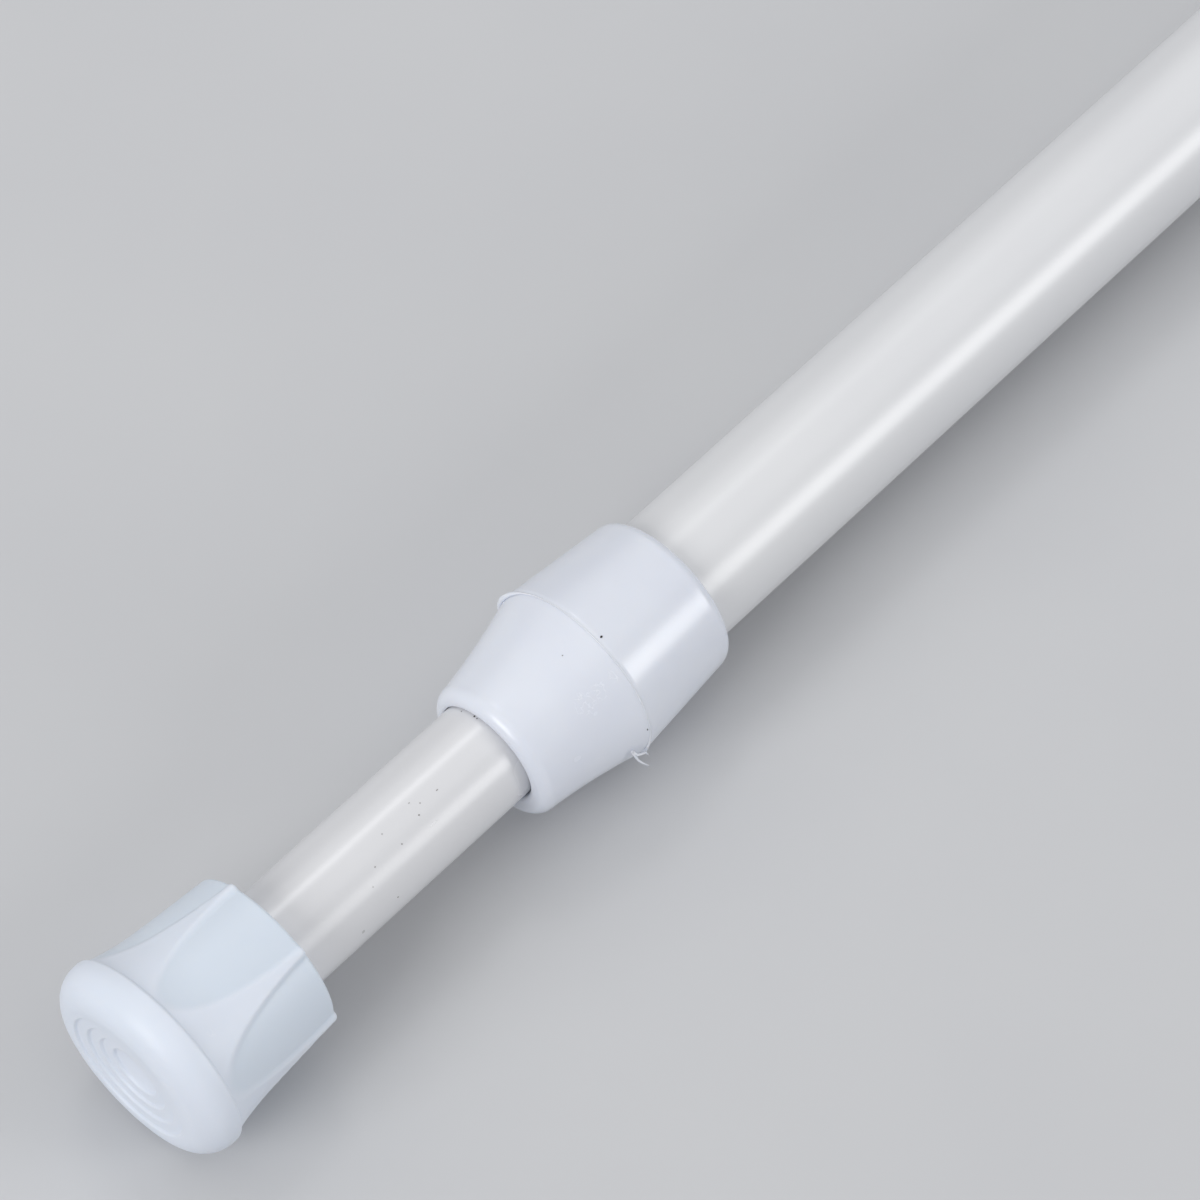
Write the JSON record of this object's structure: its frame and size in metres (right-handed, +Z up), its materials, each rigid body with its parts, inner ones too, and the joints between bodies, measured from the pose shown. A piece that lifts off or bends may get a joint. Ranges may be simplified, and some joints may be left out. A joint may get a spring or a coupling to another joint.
{
  "type": "extendable shower curtain rod",
  "caption": "Thin telescopic tension rod for a shower curtain: white painted tubes, a tapered reducing collar, petal-sided end caps, and a sprung plunger with a twist lock cam inside.",
  "frame": {"origin": "centre of the outer end cap's wall face", "axes": "+X along the rod from the outer wall to the inner wall, +Z up when the rod is fitted level"},
  "size_m": [0.5728, 0.0198, 0.0198],
  "materials": {
    "outer_paint": "satin warm white powder coat",
    "inner_paint": "satin warm white powder coat",
    "collar_plastic": "bluish white moulded polyethylene, semi gloss",
    "cap_plastic": "bluish white soft moulded plastic, satin",
    "natural_nylon": "natural nylon",
    "lock_plastic": "grey moulded acetal",
    "plain_steel": "zinc plated",
    "spring_steel": "drawn wire"
  },
  "bodies": {
    "outer": {"outer_tube": "outer_paint", "collar": "collar_plastic", "outer_end_cap": "cap_plastic"},
    "glide": {"glide_bush": "natural_nylon"},
    "core": {"lock_core": "lock_plastic", "core_pin": "plain_steel", "plunger": "plain_steel", "spring_washer": "plain_steel", "spring": "spring_steel", "cam_washer": "plain_steel", "cam_screw": "plain_steel"},
    "cam": {"lock_cam": "lock_plastic"},
    "inner": {"inner_tube": "inner_paint", "inner_end_cap": "cap_plastic", "mouth_bush": "natural_nylon", "spring_stop": "natural_nylon"}
  },
  "joints": [
    {"name": "extend", "type": "slide", "parent": "outer", "child": "glide", "axis": [1, 0, 0], "range_m": [0, 0.33]},
    {"name": "spin", "type": "hinge", "parent": "glide", "child": "core", "pos_m": [0.0277, 0, 0], "axis": [1, 0, 0], "continuous": true},
    {"name": "cam_lock", "type": "hinge", "parent": "core", "child": "cam", "pos_m": [0.0165, 0, 0.0005], "axis": [1, 0, 0], "range_deg": [0, 40]},
    {"name": "spring_press", "type": "slide", "parent": "core", "child": "inner", "axis": [-1, 0, 0], "range_m": [0, 0.02], "stiffness_N_per_m": 1500, "springref_m": -0.01, "deforming": ["spring"]}
  ]
}
